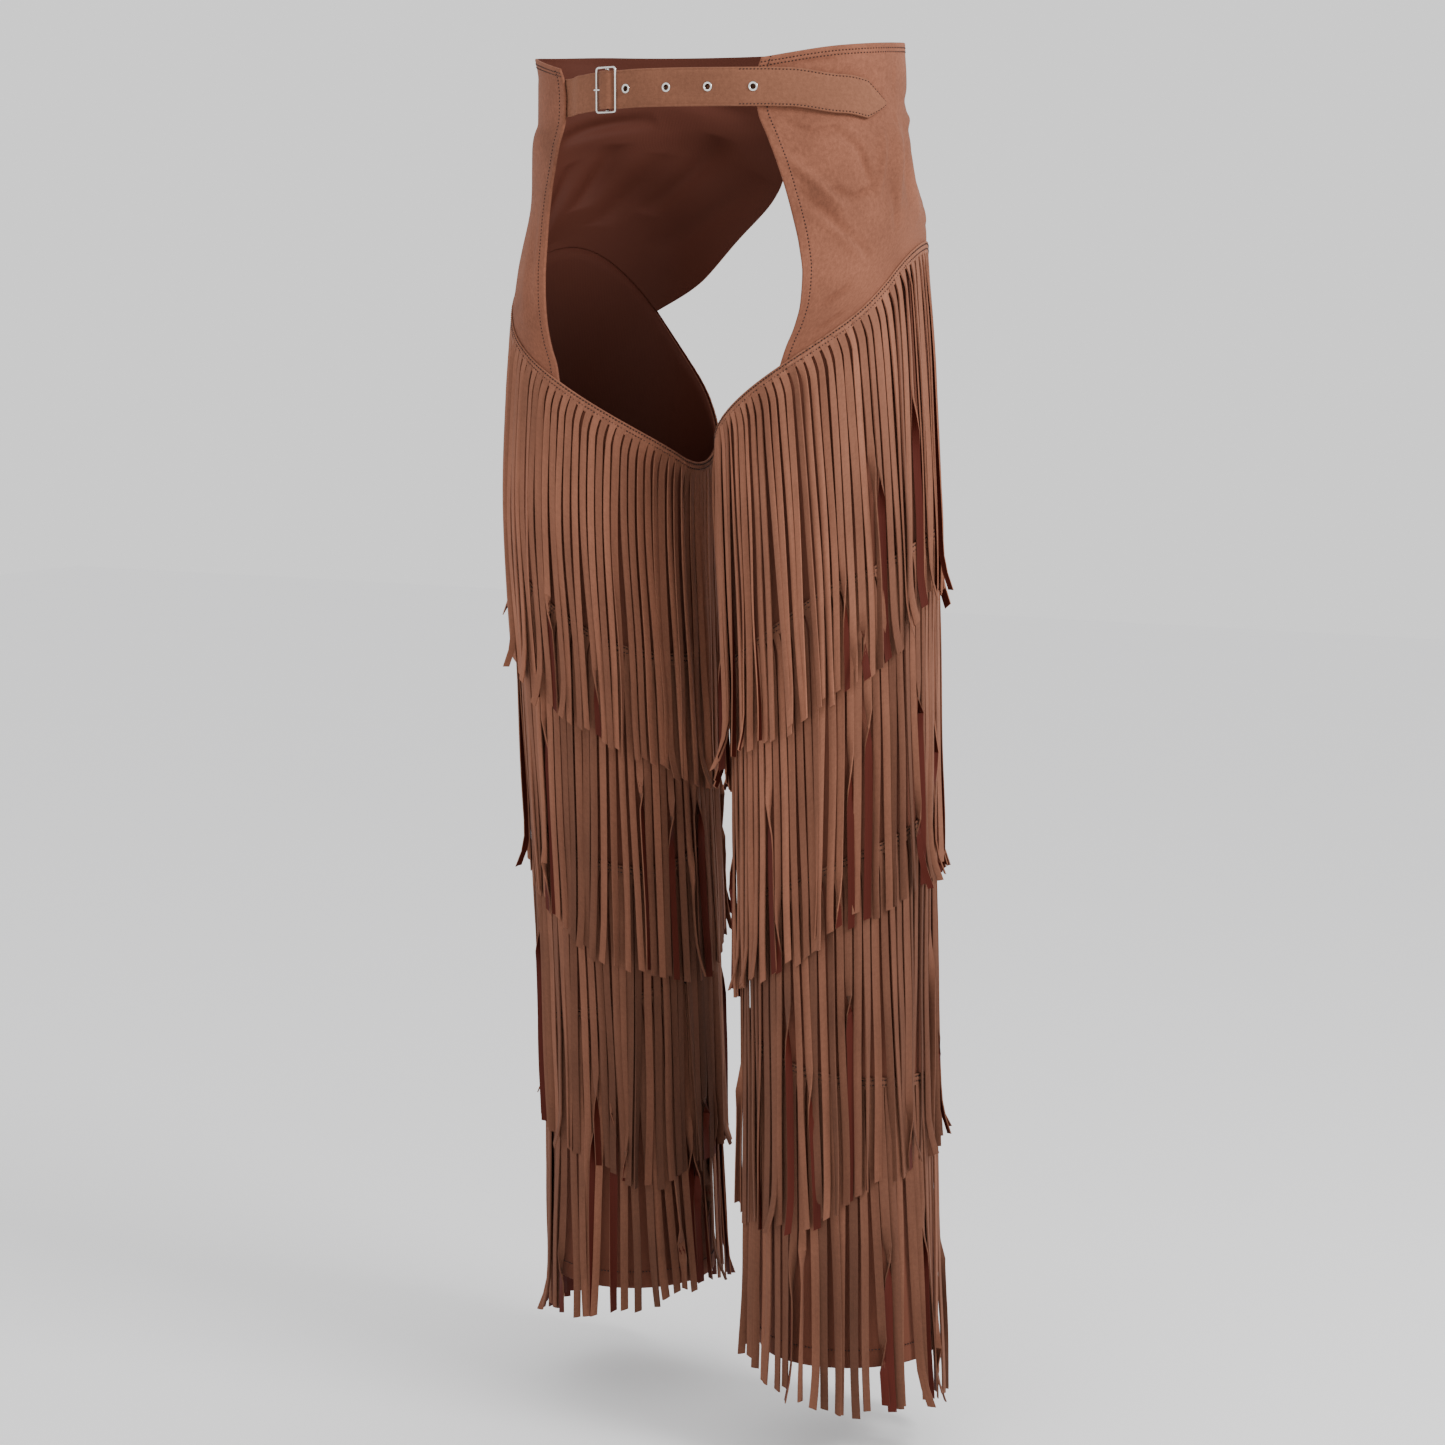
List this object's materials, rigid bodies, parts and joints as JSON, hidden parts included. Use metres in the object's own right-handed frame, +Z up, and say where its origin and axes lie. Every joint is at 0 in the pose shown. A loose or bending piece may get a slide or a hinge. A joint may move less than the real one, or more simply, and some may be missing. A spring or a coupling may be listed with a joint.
{
  "type": "chaps",
  "caption": "Fringed suede chaps in their worn shape: open-front hip panels, two legs with tiers of slanting fringe, and a buckled strap at the waist.",
  "frame": {"origin": "the middle of the waist opening, at half the strap's height, where the wearer holds the garment up", "axes": "+Z is up, -Y is the front, +X is the wearer's left"},
  "size_m": [0.379, 0.2323, 1.0307],
  "materials": {
    "hip_suede": "brushed nap",
    "leg_suede": "brushed nap",
    "fringe_suede": "brushed nap outside, smooth reverse",
    "strap_suede": "brushed nap, stitched edges",
    "nickel": "polished plating"
  },
  "bodies": {
    "root": {"hip_panel_left": "hip_suede", "hip_panel_right": "hip_suede", "leg_left": "leg_suede", "leg_right": "leg_suede", "fringe_1_left": "fringe_suede", "fringe_1_right": "fringe_suede", "fringe_2_left": "fringe_suede", "fringe_2_right": "fringe_suede", "fringe_3_left": "fringe_suede", "fringe_3_right": "fringe_suede", "fringe_4_left": "fringe_suede", "fringe_4_right": "fringe_suede", "belt_strap": "strap_suede", "buckle_strap": "strap_suede", "buckle_frame": "nickel", "buckle_prong": "nickel", "eyelet_1": "nickel", "eyelet_2": "nickel", "eyelet_3": "nickel", "eyelet_4": "nickel"}
  },
  "joints": []
}
